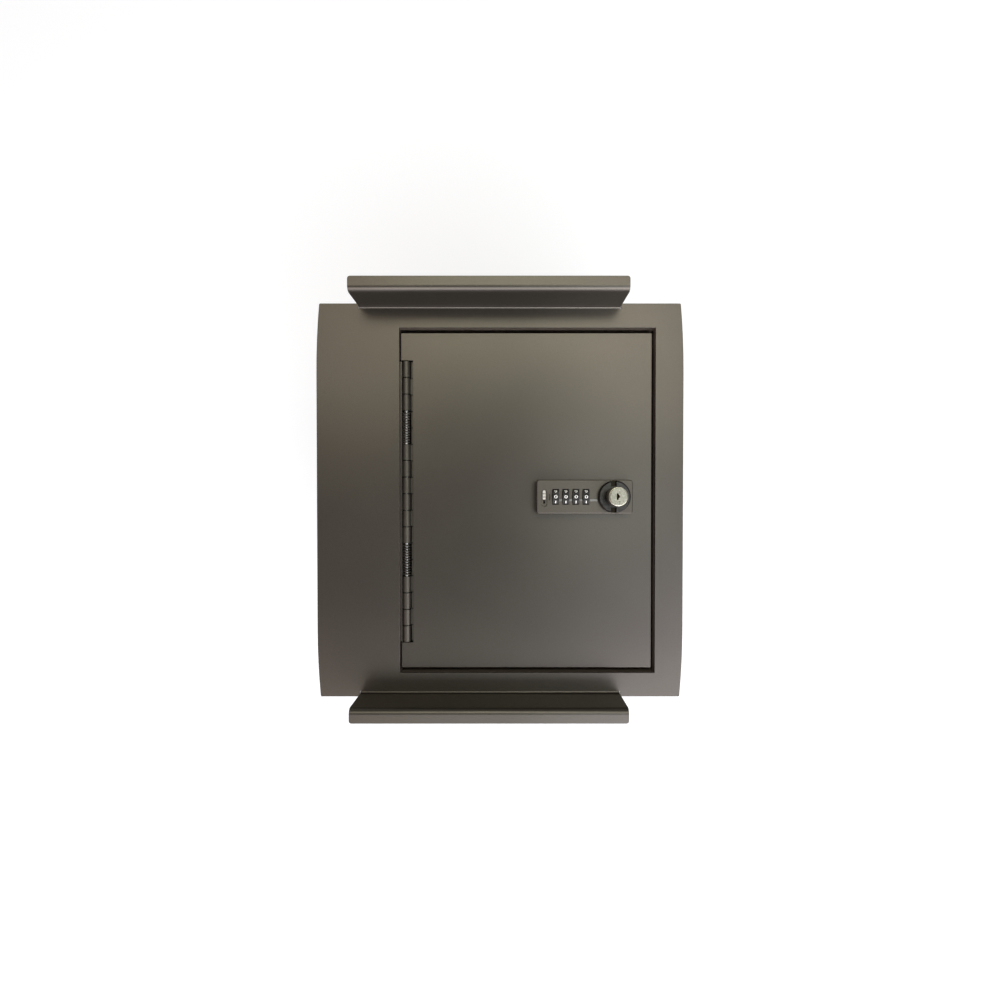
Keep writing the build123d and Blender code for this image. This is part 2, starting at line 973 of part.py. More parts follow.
def make_knob():
    skirt = upright(lock_x, lock_y, skirt_radius, knob_bottom, skirt_top)
    skirt = chamfer(skirt.edges().sort_by(Axis.Z)[-1], length=skirt_chamfer)
    x = lock_x + skirt_notch_x
    for side in (-1, 1):
        skirt -= block(
            x - skirt_notch_width / 2,
            x + skirt_notch_width / 2,
            lock_y + side * skirt_notch_inner,
            lock_y + side * (skirt_radius + overshoot),
            skirt_top - skirt_notch_depth,
            skirt_top + overshoot,
        )
    collar = upright(lock_x, lock_y, collar_radius, knob_bottom, collar_top)
    collar = fillet(collar.edges().sort_by(Axis.Z)[-1], radius=collar_edge_radius)
    knob = skirt + collar
    knob -= upright(lock_x, lock_y, spindle_radius, knob_bottom - overshoot, spindle_end)
    plug_bore = plug_barrel_radius + running_clearance
    knob -= upright(lock_x, lock_y, plug_bore, spindle_end + plug_floor, collar_top + overshoot)
    return knob


def make_lock_spindle():
    spindle = upright(lock_x, lock_y, spindle_radius, cam_top, spindle_end)
    spindle += upright(lock_x, lock_y - hub_offset, hub_radius, hub_bottom, hub_bottom + hub_height)
    square_bottom = cam_bottom + square_shortfall
    half = cam_square / 2
    spindle += block(
        lock_x - half,
        lock_x + half,
        lock_y - half,
        lock_y + half,
        square_bottom,
        cam_top + overshoot,
    )
    spindle += upright(lock_x, lock_y, stud_radius, cam_bottom - stud_length, cam_top)
    return spindle


def make_cam():
    """A tongue that lies along +Y at rest and turns under the strike."""
    half = cam_width / 2
    cam = block(lock_x - half, lock_x + half, lock_y, lock_y + cam_length, cam_bottom, cam_top)
    cam += upright(lock_x, lock_y, half, cam_bottom, cam_top)
    tips = cam.edges().filter_by(Axis.Z).sort_by(Axis.Y)[-2:]
    cam = fillet(tips, radius=cam_thickness / 2)
    hole = cam_square / 2 + running_clearance
    return cam - block(
        lock_x - hole,
        lock_x + hole,
        lock_y - hole,
        lock_y + hole,
        cam_bottom - overshoot,
        cam_top + overshoot,
    )


def make_cam_washer():
    bottom = cam_bottom - washer_thickness
    washer = upright(lock_x, lock_y, washer_radius, bottom, cam_bottom)
    return washer - upright(
        lock_x,
        lock_y,
        stud_radius + running_clearance,
        bottom - overshoot,
        cam_bottom + overshoot,
    )


def make_cam_nut():
    bottom = cam_bottom - washer_thickness - cam_nut_thickness
    nut = extrude(RegularPolygon(cam_nut_width / 2, 6, major_radius=False), amount=cam_nut_thickness)
    nut = Pos(lock_x, lock_y, bottom) * nut
    return nut - upright(
        lock_x,
        lock_y,
        stud_radius,
        bottom - overshoot,
        bottom + cam_nut_thickness + overshoot,
    )


# Key plug

def plug_bottom():
    return spindle_end + plug_floor + plug_end_gap


def wafer_level(index):
    return plug_bottom() + wafer_first + index * wafer_pitch


def keyway(z0, z1):
    """The key's profile: a slot with a step on its +X side."""
    x = lock_x + keyway_x
    edge = x + keyway_width / 2
    y = lock_y + keyway_step_y
    slot = block(x - keyway_width / 2, edge, lock_y - keyway_length / 2, lock_y + keyway_length / 2, z0, z1)
    half = keyway_step_length / 2
    return slot + block(x, edge + keyway_step, y - half, y + half, z0, z1)


def make_key_plug():
    head_bottom = collar_top + plug_gap
    head_top = head_bottom + plug_head_thickness
    head = upright(lock_x, lock_y, plug_head_radius, head_bottom, head_top)
    head = fillet(head.edges().sort_by(Axis.Z)[-1], radius=plug_head_edge)
    plug = head + upright(lock_x, lock_y, plug_barrel_radius, plug_bottom(), head_bottom)
    plug -= keyway(plug_bottom() + keyway_floor, head_top + overshoot)
    half_width = wafer_width / 2 + wafer_clearance
    half_length = wafer_length / 2 + wafer_clearance
    for index in range(wafer_count):
        level = wafer_level(index)
        plug -= block(
            lock_x - half_width,
            lock_x + half_width,
            lock_y - half_length,
            lock_y + half_length,
            level - wafer_clearance,
            level + wafer_thickness + wafer_clearance,
        )
    dimple_bottom = head_top - dimple_depth
    plug -= upright(
        lock_x + dimple_x,
        lock_y + dimple_offset,
        dimple_radius,
        dimple_bottom,
        head_top + overshoot,
    )
    return plug


def make_key_wafers():
    wafers = []
    for index in range(wafer_count):
        level = wafer_level(index)
        wafer = block(
            lock_x - wafer_width / 2,
            lock_x + wafer_width / 2,
            lock_y - wafer_length / 2,
            lock_y + wafer_length / 2,
            level,
            level + wafer_thickness,
        )
        wafers.append(wafer - keyway(level - overshoot, level + wafer_thickness + overshoot))
    return Compound(wafers)


# All the pieces, by name

parts = {
    "top_plate": make_top_plate(),
    "box_shell": make_box_shell(),
    "box_end_front": make_end_wall(-1),
    "box_end_rear": make_end_wall(1),
    "floor_pad": make_floor_pad(),
    "door_stop_front": make_door_stop(-1),
    "door_stop_rear": make_door_stop(1),
    "strike_angle": make_strike_angle(),
    "door_bumpers": make_bumpers(),
    "hinge_packing_strip": make_packing_strip(),
    "hinge_frame_leaf": make_hinge_frame_leaf(),
    "hinge_pin": make_hinge_pin(),
    "hinge_spring_rear": make_hinge_spring(spring_starts[0]),
    "hinge_spring_front": make_hinge_spring(spring_starts[1]),
    "hinge_door_leaf": make_hinge_door_leaf(),
    "door_panel": make_door_panel(),
    "door_stiffeners": make_door_stiffeners(),
    "lock_housing": make_lock_housing(),
    "lock_back_plate": make_lock_back_plate(),
    "back_plate_screws": make_plate_screws(),
    "dial_axle": make_dial_axle(),
    "detent_spring_plate": make_detent_spring_plate(),
    "lock_nut": make_lock_nut(),
    "lock_fixing_screw": make_fixing_screw(),
    "code_slider": make_code_slider(),
    "slider_cap": make_slider_cap(),
    "fence_bar": make_fence_bar(),
    "knob": make_knob(),
    "lock_spindle": make_lock_spindle(),
    "cam": make_cam(),
    "cam_washer": make_cam_washer(),
    "cam_nut": make_cam_nut(),
    "key_plug": make_key_plug(),
    "key_wafers": make_key_wafers(),
}
for number in range(dial_count):
    parts[f"dial_{number + 1}"] = make_dial(number)

os.makedirs("parts", exist_ok=True)
for name, piece in parts.items():
    export_step(piece, f"parts/{name}.step")
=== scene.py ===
import json
import math

import bmesh
import bpy
from mathutils import Matrix, Vector


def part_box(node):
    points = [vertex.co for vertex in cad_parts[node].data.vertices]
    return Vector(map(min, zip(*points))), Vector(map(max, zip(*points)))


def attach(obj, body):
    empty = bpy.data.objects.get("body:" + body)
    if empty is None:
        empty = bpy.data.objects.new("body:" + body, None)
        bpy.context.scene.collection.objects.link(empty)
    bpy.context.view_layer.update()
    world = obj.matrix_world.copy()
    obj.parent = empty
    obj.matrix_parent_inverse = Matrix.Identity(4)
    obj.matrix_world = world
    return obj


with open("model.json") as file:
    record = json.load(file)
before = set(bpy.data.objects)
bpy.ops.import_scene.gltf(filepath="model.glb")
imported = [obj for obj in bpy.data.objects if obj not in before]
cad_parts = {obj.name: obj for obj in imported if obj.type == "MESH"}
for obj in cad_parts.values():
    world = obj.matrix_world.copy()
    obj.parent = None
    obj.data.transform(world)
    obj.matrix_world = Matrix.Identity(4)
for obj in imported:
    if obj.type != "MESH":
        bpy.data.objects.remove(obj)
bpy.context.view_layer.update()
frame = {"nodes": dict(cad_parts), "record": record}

# Console safe: finishes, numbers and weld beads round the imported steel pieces. Metres, +Z up.

MM = 0.001
WHOLE_TURN = 2 * math.pi
WHITE = (1.0, 1.0, 1.0)

# The steel that the plate, the box and the door are made of
SHEET = 2.66 * MM

# The photograph is taken from straight above the lid
CAMERA_HEIGHT = 0.490
CAMERA_X = 0.0023
CAMERA_TILT = math.radians(-0.9)
CAMERA_LIFT = 0.0009
CAMERA_NEAREST = 0.01
CAMERA_FURTHEST = 20.0
PIXELS_PER_METRE = 1307.0
PHOTO_WIDTH = 1000.0
SENSOR_WIDTH = 36.0

# Numbers on the dials
DIGITS = 10
DIALS = 4
DIGIT_HEIGHT = 2.4 * MM
DIGIT_WIDEN = 1.6
DIGIT_STROKE = 0.08 * MM
DIGIT_RAISE = 0.03 * MM
DIGIT_BEND_STEP = 0.3 * MM
DIGIT_CURVE_STEPS = 3
DIGIT_MERGE = 1e-5

# Weld beads, which are drops of a few faces laid one over the next
BEAD_WIDTH = 3.2 * MM
BEAD_PITCH = 1.3 * MM
BEAD_SEGMENTS = 8
BEAD_RINGS = 5
BEAD_LEAST = 0.85
PLATE_BEAD = 1.25 * BEAD_WIDTH
STOP_BEAD = 0.9 * BEAD_WIDTH
HINGE_BEAD = 0.8 * BEAD_WIDTH

# Stitches of weld, and how far the first one stands from the end of its seam
STITCH_LENGTH = 25.0 * MM
STITCH_GAP = 42.0 * MM
STOP_STITCH = 16.0 * MM
STOP_INSET = 6.0 * MM
HINGE_STITCH = 14.0 * MM
HINGE_STITCH_GAP = 26.0 * MM
HINGE_INSET = 8.0 * MM
LEAF_WELD_DEPTH = 0.5 * MM
SHELL_INSET = 20.0 * MM
END_INSET = 16.0 * MM
CORNER_FOOT = 8.0 * MM
CORNER_TOP = 4.0 * MM
STIFFENER_WIDTH = 12.0 * MM

# Places on the pieces where light or shade is painted into their colour
KNUCKLE_PITCH = 12.7 * MM
READING_BAR_HEIGHT = 0.4 * MM
SKIRT_THICKNESS = 4.0 * MM

# Powder coat: slow drifts of tone, flakes, haze, and the peel and soft edges of its surface
COAT_DRIFT = 110.0 * MM
COAT_FLAKE = 0.3 * MM
COAT_HAZE = 1.4 * MM
COAT_HAZE_SWING = 0.02
COAT_PEEL = 0.8 * MM
COAT_PEEL_DEPTH = 0.004 * MM
COAT_EDGE = 0.45 * MM

COAT_FLAKE_SHADE = 0.78
COAT_FLAKE_START = 0.35
COAT_FLAKE_MOST = 0.5

# Smooth noise mostly lies between these
NOISE_LOW = 0.3
NOISE_HIGH = 0.7

# A wave texture of scale one has a ring each time its radius grows by this
WAVE_RING = 0.314

# Studio. The softboxes are all as far from the lid
SOFTBOX_DISTANCE = 1.1
SOFTBOX_TARGET = Vector((0.0, 0.0, 0.17))
FILL_COLOUR = (1.0, 0.99, 0.97, 1.0)
FILL_STRENGTH = 0.2
BACKDROP_COLOUR = (0.8, 0.8, 0.8, 1.0)
FLOOR_HALF = 4.0
FLOOR_GLOW = 0.73


# Node helpers

class Finish:
    """A material's node tree, with short ways to add to it."""

    def __init__(self, name):
        self.material = bpy.data.materials.new(name)
        self.material.use_nodes = True
        self.tree = self.material.node_tree
        self.tree.nodes.clear()
        self.output = self.add("ShaderNodeOutputMaterial")
        self.shader = self.add("ShaderNodeBsdfPrincipled")
        self.link(self.shader.outputs["BSDF"], self.output.inputs["Surface"])
        coordinates = self.add("ShaderNodeTexCoord")
        self.place = coordinates.outputs["Object"]

    def add(self, kind, **values):
        node = self.tree.nodes.new(kind)
        for name, value in values.items():
            setattr(node, name, value)
        return node

    def link(self, source, target):
        self.tree.links.new(source, target)

    def set(self, **values):
        """Sets the shader's own sockets. An underscore stands for a space."""
        for name, value in values.items():
            self.shader.inputs[name.replace("_", " ")].default_value = value

    def mapped(self, scale=WHITE, location=(0.0, 0.0, 0.0)):
        """The object's coordinates, stretched along the axes or moved."""
        mapping = self.add("ShaderNodeMapping")
        mapping.inputs["Scale"].default_value = scale
        mapping.inputs["Location"].default_value = location
        self.link(self.place, mapping.inputs["Vector"])
        return mapping.outputs["Vector"]

    def noise(self, size, detail=2.0, roughness=0.5, place=None):
        """Smooth noise whose patches are about size metres across."""
        node = self.add("ShaderNodeTexNoise")
        node.inputs["Scale"].default_value = 1.0 / size
        node.inputs["Detail"].default_value = detail
        node.inputs["Roughness"].default_value = roughness
        self.link(place or self.place, node.inputs["Vector"])
        return node.outputs["Fac"]

    def flakes(self, size):
        """A random grey for each tiny cell."""
        node = self.add("ShaderNodeTexVoronoi")
        node.inputs["Scale"].default_value = 1.0 / size
        self.link(self.place, node.inputs["Vector"])
        grey = self.add("ShaderNodeRGBToBW")
        self.link(node.outputs["Color"], grey.inputs["Color"])
        return grey.outputs["Val"]

    def spread(self, factor, low, high, start=0.0, end=1.0):
        """Maps a factor's start to end onto low to high."""
        node = self.add("ShaderNodeMapRange")
        node.inputs["From Min"].default_value = start
        node.inputs["From Max"].default_value = end
        node.inputs["To Min"].default_value = low
        node.inputs["To Max"].default_value = high
        self.link(factor, node.inputs["Value"])
        return node.outputs["Result"]

    def axis(self, name):
        """The object's own X, Y or Z, in metres."""
        parts = self.add("ShaderNodeSeparateXYZ")
        self.link(self.place, parts.inputs["Vector"])
        return parts.outputs[name]

    def maths(self, operation, first, second):
        """One sum. The first is a socket, the second a socket or a number."""
        node = self.add("ShaderNodeMath", operation=operation)
        self.link(first, node.inputs[0])
        if isinstance(second, bpy.types.NodeSocket):
            self.link(second, node.inputs[1])
        else:
            node.inputs[1].default_value = second
        return node.outputs["Value"]

    def blend(self, factor, first, second):
        """A colour between two, by a factor."""
        node = self.add("ShaderNodeMix", data_type="RGBA")
        self.link(factor, node.inputs["Factor"])
        for socket, value in ((node.inputs[6], first), (node.inputs[7], second)):
            if isinstance(value, bpy.types.NodeSocket):
                self.link(value, socket)
            else:
                socket.default_value = (*value, 1.0)
        return node.outputs[2]

    def cloudy(self, noise, dark, light):
        """A colour that drifts between two tones with the noise."""
        return self.blend(self.spread(noise, 0.0, 1.0, NOISE_LOW, NOISE_HIGH), dark, light)

    def colour(self, socket):
        self.link(socket, self.shader.inputs["Base Color"])

    def roughness(self, noise, low, high):
        """Roughness that drifts from low to high with the noise."""
        self.link(self.spread(noise, low, high, NOISE_LOW, NOISE_HIGH), self.shader.inputs["Roughness"])

    def relief(self, height, depth, strength=1.0, over=None):
        """Bump of a real depth. over is a relief that lies under this one."""
        node = self.add("ShaderNodeBump")
        node.inputs["Strength"].default_value = strength
        node.inputs["Distance"].default_value = depth
        self.link(height, node.inputs["Height"])
        if over is not None:
            self.link(over, node.inputs["Normal"])
        return node.outputs["Normal"]

    def soft_edges(self, radius):
        """Rounds the shading of cut edges, as paint does."""
        node = self.add("ShaderNodeBevel", samples=6)
        node.inputs["Radius"].default_value = radius
        return node.outputs["Normal"]

    def normal(self, socket):
        self.link(socket, self.shader.inputs["Normal"])


# Masks of the places where light or shade is painted into the colour

def inside_the_box(finish):
    """The inner faces of the welded box, with painted light: a paler, less metallic coat that stands in for
    the fill light on the walls seen in the gaps round the door.
    """
    shell_low, shell_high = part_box("box_shell")
    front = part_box("box_end_front")[0].y
    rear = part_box("box_end_rear")[1].y
    start, end = 0.8 * MM, 1.6 * MM
    mask = None
    walls = (("X", shell_low.x, 1), ("X", shell_high.x, -1), ("Y", front, 1), ("Y", rear, -1))
    for name, face, inward in walls:
        side = finish.spread(finish.axis(name), 0.0, 1.0, face + inward * start, face + inward * end)
        mask = side if mask is None else finish.maths("MULTIPLY", mask, side)
    return mask


def between_the_knuckles(finish):
    """A dark line where one knuckle meets the next: painted shade in the seam."""
    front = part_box("hinge_frame_leaf")[0].y
    steps = finish.maths("DIVIDE", finish.maths("SUBTRACT", finish.axis("Y"), front), KNUCKLE_PITCH)
    distance = finish.maths("PINGPONG", steps, 0.5)
    dark, clear = 0.3 * MM / KNUCKLE_PITCH, 0.5 * MM / KNUCKLE_PITCH
    return finish.spread(distance, 1.0, 0.0, dark, clear)


def on_the_reading_bar(finish):
    """The raised bar beside the dials, painted lighter as a painted highlight where it catches the light.
    """
    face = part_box("lock_housing")[1].z - READING_BAR_HEIGHT
    return finish.spread(finish.axis("Z"), 0.0, 1.0, face + 0.05 * MM, face + 0.15 * MM)


# Kinds of finish

def powder_coated(
    name, light, dark, metallic, gloss, painted_light_patch=None, painted_light_colour=None, painted_light_metallic=None
):
    """Pewter powder coat: fine orange peel, small flakes and slow drifts of tone. The optional mask marks a
    place where light or shade is painted into the colour, with the painted colour and, if given, its
    metallic."""
    finish = Finish(name)
    finish.set(Metallic=metallic)
    tone = finish.cloudy(finish.noise(COAT_DRIFT), dark, light)
    flake = finish.flakes(COAT_FLAKE)
    darker = tuple(COAT_FLAKE_SHADE * c for c in dark)
    tone = finish.blend(finish.spread(flake, 0.0, COAT_FLAKE_MOST, COAT_FLAKE_START), tone, darker)
    # Painted light or shade: the masked place takes the painted colour.
    if painted_light_patch is not None:
        mask = painted_light_patch(finish)
        tone = finish.blend(mask, tone, painted_light_colour)
        if painted_light_metallic is not None:
            finish.link(finish.spread(mask, metallic, painted_light_metallic), finish.shader.inputs["Metallic"])
    finish.colour(tone)
    haze = finish.noise(COAT_HAZE, detail=3.0)
    finish.roughness(haze, gloss - COAT_HAZE_SWING, gloss + COAT_HAZE_SWING)
    edges = finish.soft_edges(COAT_EDGE)
    finish.normal(finish.relief(finish.noise(COAT_PEEL), COAT_PEEL_DEPTH, over=edges))
    return finish.material


def plated(name, light, dark, roughness):
    """Plated or bare metal with a faint cloudiness and fine scratches."""
    finish = Finish(name)
    finish.set(Metallic=1.0)
    finish.colour(finish.cloudy(finish.noise(3.0 * MM, detail=4.0), dark, light))
    finish.roughness(finish.noise(0.6 * MM, detail=3.0), roughness - 0.06, roughness + 0.08)
    scratches = finish.noise(0.9 * MM, place=finish.mapped(scale=(1.0, 6.0, 1.0)))
    finish.normal(finish.relief(scratches, 0.004 * MM, over=finish.soft_edges(0.2 * MM)))
    return finish.material


def knob_nickel():
    """Black nickel on the knob's skirt, near black below the notch floors as painted shade in the notches
    and under the skirt. The collar grows paler towards its top, partly lighter nickel and partly painted
    shade at its foot beside the skirt.
    """
    finish = Finish("dark_nickel")
    finish.set(Metallic=1.0)
    bottom, top = (corner.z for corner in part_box("knob"))
    skirt_top = bottom + SKIRT_THICKNESS
    height = finish.axis("Z")
    tone = finish.cloudy(finish.noise(2.0 * MM, detail=4.0), (0.032, 0.03, 0.027), (0.055, 0.051, 0.047))
    # Painted shade: near black below the notch floors.
    painted_notch_shade = finish.spread(height, 1.0, 0.0, skirt_top - 1.8 * MM, skirt_top - 1.4 * MM)
    tone = finish.blend(painted_notch_shade, tone, (0.014, 0.012, 0.008))
    # The collar: pale nickel towards its top, with painted shade at its foot where it keeps the skirt's
    # dark tone.
    collar_tone_and_shade = finish.spread(height, 0.0, 1.0, skirt_top + 1.0 * MM, skirt_top + 0.7 * (top - skirt_top))
    finish.colour(finish.blend(collar_tone_and_shade, tone, (0.5, 0.48, 0.38)))
    finish.roughness(finish.noise(0.6 * MM, detail=3.0), 0.24, 0.36)
    grain = finish.noise(0.9 * MM)
    finish.normal(finish.relief(grain, 0.006 * MM, over=finish.soft_edges(0.25 * MM)))
    return finish.material


def turned(name, light, dark, roughness, centre, line=0.35 * MM, depth=0.01 * MM):
    """Metal faced on a lathe: fine rings round its own axis, and small dark pits."""
    finish = Finish(name)
    finish.set(Metallic=1.0)
    rings = finish.add("ShaderNodeTexWave", wave_type="RINGS", rings_direction="Z")
    rings.inputs["Scale"].default_value = WAVE_RING / line
    rings.inputs["Distortion"].default_value = 0.6
    rings.inputs["Detail"].default_value = 2.0
    finish.link(finish.mapped(location=(-centre[0], -centre[1], 0.0)), rings.inputs["Vector"])
    cloud = finish.noise(1.6 * MM, detail=4.0)
    pits = finish.spread(finish.noise(0.8 * MM), 0.0, 1.0, 0.56, 0.68)
    finish.colour(finish.blend(pits, finish.cloudy(cloud, dark, light), tuple(0.4 * c for c in dark)))
    finish.roughness(cloud, roughness - 0.05, roughness + 0.1)
    finish.normal(finish.relief(rings.outputs["Fac"], depth, 0.5, finish.soft_edges(0.2 * MM)))
    return finish.material


def moulded(name, light, dark, roughness, grain_size, grain_depth, sheen=0.0, shine=0.5):
    """Rubber, foam or plastic with its own grain. shine is how strongly it mirrors."""
    finish = Finish(name)
    finish.set(Sheen_Weight=sheen, Specular_IOR_Level=shine)
    cloud = finish.noise(8.0 * grain_size, detail=3.0)
    finish.colour(finish.cloudy(cloud, dark, light))
    finish.roughness(cloud, roughness - 0.05, roughness + 0.05)
    grain = finish.noise(grain_size, detail=4.0, roughness=0.6)
    finish.normal(finish.relief(grain, grain_depth, over=finish.soft_edges(0.15 * MM)))
    return finish.material


def cap_plastic():
    """The slider's cap: white along the middle of its top, and nearly black in its grooves and down its
    sides as painted shade.
    """
    finish = Finish("white_plastic")
    finish.set(Roughness=0.5)
    low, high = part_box("slider_cap")
    white = finish.cloudy(finish.noise(1.2 * MM, detail=3.0), (0.42, 0.4, 0.34), (0.48, 0.46, 0.4))
    top = finish.spread(finish.axis("Z"), 0.0, 1.0, high.z - 0.2 * MM, high.z - 0.1 * MM)
    off_middle = finish.maths("SUBTRACT", finish.axis("X"), (low.x + high.x) / 2)
    reach = finish.maths("MAXIMUM", off_middle, finish.maths("MULTIPLY", off_middle, -1.0))
    middle = finish.spread(reach, 1.0, 0.0, 0.95 * MM, 1.1 * MM)
    # Only the middle of the top stays white; the grooves and sides take painted shade.
    free_of_painted_shade = finish.maths("MULTIPLY", top, middle)
    finish.colour(finish.blend(free_of_painted_shade, (0.07, 0.066, 0.058), white))
    finish.normal(finish.relief(finish.noise(0.4 * MM), 0.006 * MM, over=finish.soft_edges(0.15 * MM)))
    return finish.material


def number_paint():
    """White paint filled into the dials' figures."""
    finish = Finish("number_paint")
    finish.set(Roughness=0.6)
    wear = finish.spread(finish.noise(0.5 * MM, detail=3.0), 0.0, 0.35, 0.45, 0.8)
    finish.colour(finish.blend(wear, (0.84, 0.83, 0.78), (0.72, 0.71, 0.66)))
    return finish.material


def studio_floor():
    """A pale paper sweep."""
    finish = Finish("studio_floor")
    finish.set(Roughness=0.9, Emission_Strength=FLOOR_GLOW)
    finish.set(Emission_Color=(*WHITE, 1.0))
    finish.colour(finish.blend(finish.noise(0.6), (0.3, 0.3, 0.3), (0.33, 0.33, 0.33)))
    return finish.material


# The finishes of this safe, by the slot of the piece that wears them

PEWTER = (0.096, 0.086, 0.07)
PEWTER_DARK = (0.082, 0.073, 0.06)
PEWTER_METALLIC = 0.85
PEWTER_GLOSS = 0.32

knob_low, knob_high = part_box("knob")
knob_axis = ((knob_low.x + knob_high.x) / 2, (knob_low.y + knob_high.y) / 2)

finishes = {
    "powder_coat": powder_coated("powder_coat", PEWTER, PEWTER_DARK, PEWTER_METALLIC, PEWTER_GLOSS),
    # The hinge's coat, with painted shade, near black, in the seams between the knuckles.
    "hinge_coat": powder_coated(
        "hinge_coat", (0.09, 0.082, 0.065), (0.073, 0.066, 0.053), 0.85, 0.4,
        painted_light_patch=between_the_knuckles, painted_light_colour=(0.012, 0.011, 0.009),
    ),
    # The lock's case, with a painted highlight on the raised reading bar.
    "lock_case": powder_coated(
        "lock_case", (0.105, 0.094, 0.075), (0.086, 0.077, 0.062), 0.8, 0.4,
        painted_light_patch=on_the_reading_bar, painted_light_colour=(0.17, 0.165, 0.15),
    ),
    "foam_pad": moulded(
        "foam_pad", (0.028, 0.028, 0.03), (0.016, 0.016, 0.018), 0.9, 0.8 * MM, 0.12 * MM, sheen=0.15
    ),
    "black_rubber": moulded(
        "black_rubber", (0.022, 0.022, 0.022), (0.014, 0.014, 0.014), 0.6, 0.4 * MM, 0.02 * MM
    ),
    "dial_black": moulded(
        "dial_black", (0.036, 0.035, 0.031), (0.024, 0.023, 0.021), 0.55, 0.5 * MM, 0.006 * MM, shine=0.15
    ),
    "zinc_steel": plated("zinc_steel", (0.56, 0.55, 0.52), (0.42, 0.42, 0.41), 0.34),
    "spring_steel": plated("spring_steel", (0.085, 0.078, 0.066), (0.055, 0.051, 0.044), 0.55),
    "white_plastic": cap_plastic(),
    "dark_nickel": knob_nickel(),
    "nickel_brass": turned("nickel_brass", (0.36, 0.345, 0.28), (0.23, 0.22, 0.17), 0.34, knob_axis),
    "bare_brass": plated("bare_brass", (0.72, 0.52, 0.22), (0.6, 0.42, 0.17), 0.3),
}
# The box's coat, with painted light on its inner faces: paler and less metallic there, so the gaps round
# the door show lit walls.
box_coat_with_painted_light = powder_coated(
    "box_coat_with_painted_light", PEWTER, PEWTER_DARK, PEWTER_METALLIC, PEWTER_GLOSS,
    painted_light_patch=inside_the_box, painted_light_colour=(0.15, 0.12, 0.095), painted_light_metallic=0.1,
)


def finish_frame():
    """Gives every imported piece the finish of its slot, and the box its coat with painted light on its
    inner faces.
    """
    for part in frame["record"]["subparts"]:
        piece = frame["nodes"][part["node"]]
        piece.data.materials.clear()
        piece.data.materials.append(finishes[part["material_slot"]])
    for node in ("box_shell", "box_end_front", "box_end_rear"):
        frame["nodes"][node].data.materials[0] = box_coat_with_painted_light


def as_piece(name, mesh_data, material, body):
    """Links a finished mesh and sets what it rides on."""
    piece = bpy.data.objects.new(name, mesh_data)
    bpy.context.scene.collection.objects.link(piece)
    mesh_data.materials.clear()
    mesh_data.materials.append(material)
    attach(piece, body)
    return piece


# Numbers on the dials

def figure_mesh(figure):
    """One flat figure of the built-in font."""
    text = bpy.data.curves.new("figure", "FONT")
    text.body = figure
    text.align_x = "CENTER"
    text.resolution_u = DIGIT_CURVE_STEPS
    holder = bpy.data.objects.new("figure", text)
    bpy.context.scene.collection.objects.link(holder)
    bpy.context.view_layer.update()
    flat = bpy.data.meshes.new_from_object(holder)
    bpy.data.objects.remove(holder)
    bpy.data.curves.remove(text)
    return flat


def sized_figure(figure):
    """A figure at its painted size, centred, and cut across so that it can bend."""
    flat = figure_mesh(figure)
    one = bmesh.new()
    one.from_mesh(flat)
    bpy.data.meshes.remove(flat)
    bmesh.ops.remove_doubles(one, verts=one.verts, dist=DIGIT_MERGE)
    across = [v.co.x for v in one.verts]
    along = [v.co.y for v in one.verts]
    middle_x = (max(across) + min(across)) / 2
    middle_y = (max(along) + min(along)) / 2
    scale = DIGIT_HEIGHT / (max(along) - min(along))
    for v in one.verts:
        v.co = Vector(((v.co.x - middle_x) * scale * DIGIT_WIDEN, (v.co.y - middle_y) * scale, 0.0))
    cuts = int(DIGIT_HEIGHT / DIGIT_BEND_STEP)
    for cut in range(1, cuts):
        level = -DIGIT_HEIGHT / 2 + cut * DIGIT_HEIGHT / cuts
        geometry = list(one.verts) + list(one.edges) + list(one.faces)
        bmesh.ops.bisect_plane(one, geom=geometry, plane_co=(0, level, 0), plane_no=(0, 1, 0))
    bmesh.ops.triangulate(one, faces=one.faces)
    return one


def thicken(one):
    """Gives a flat figure the thickness of its paint."""
    top = bmesh.ops.extrude_face_region(one, geom=list(one.faces))
    for item in top["geom"]:
        if isinstance(item, bmesh.types.BMVert):
            item.co.z += DIGIT_STROKE
    bmesh.ops.recalc_face_normals(one, faces=one.faces)


def wrap(one, centre, radius, turn):
    """Bends a figure round the rim of a dial."""
    for v in one.verts:
        angle = turn + v.co.y / radius
        reach = radius - DIGIT_STROKE + DIGIT_RAISE + v.co.z
        v.co = Vector((
            centre.x + v.co.x,
            centre.y + reach * math.sin(angle),
            centre.z + reach * math.cos(angle),
        ))
    bmesh.ops.recalc_face_normals(one, faces=one.faces)


def dial_figures(node, body, paint):
    """All ten figures of one dial. Zero is on top and one comes next below it."""
    low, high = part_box(node)
    centre = (low + high) / 2
    radius = (high.z - low.z) / 2
    whole = bmesh.new()
    for digit in range(DIGITS):
        one = sized_figure(str(digit))
        thicken(one)
        wrap(one, centre, radius, -WHOLE_TURN * digit / DIGITS)
        part = bpy.data.meshes.new("part")
        one.to_mesh(part)
        one.free()
        whole.from_mesh(part)
        bpy.data.meshes.remove(part)
    figures = bpy.data.meshes.new(node + "_figures")
    whole.to_mesh(figures)
    whole.free()
    return as_piece(node + "_figures", figures, paint, body)


# Weld beads

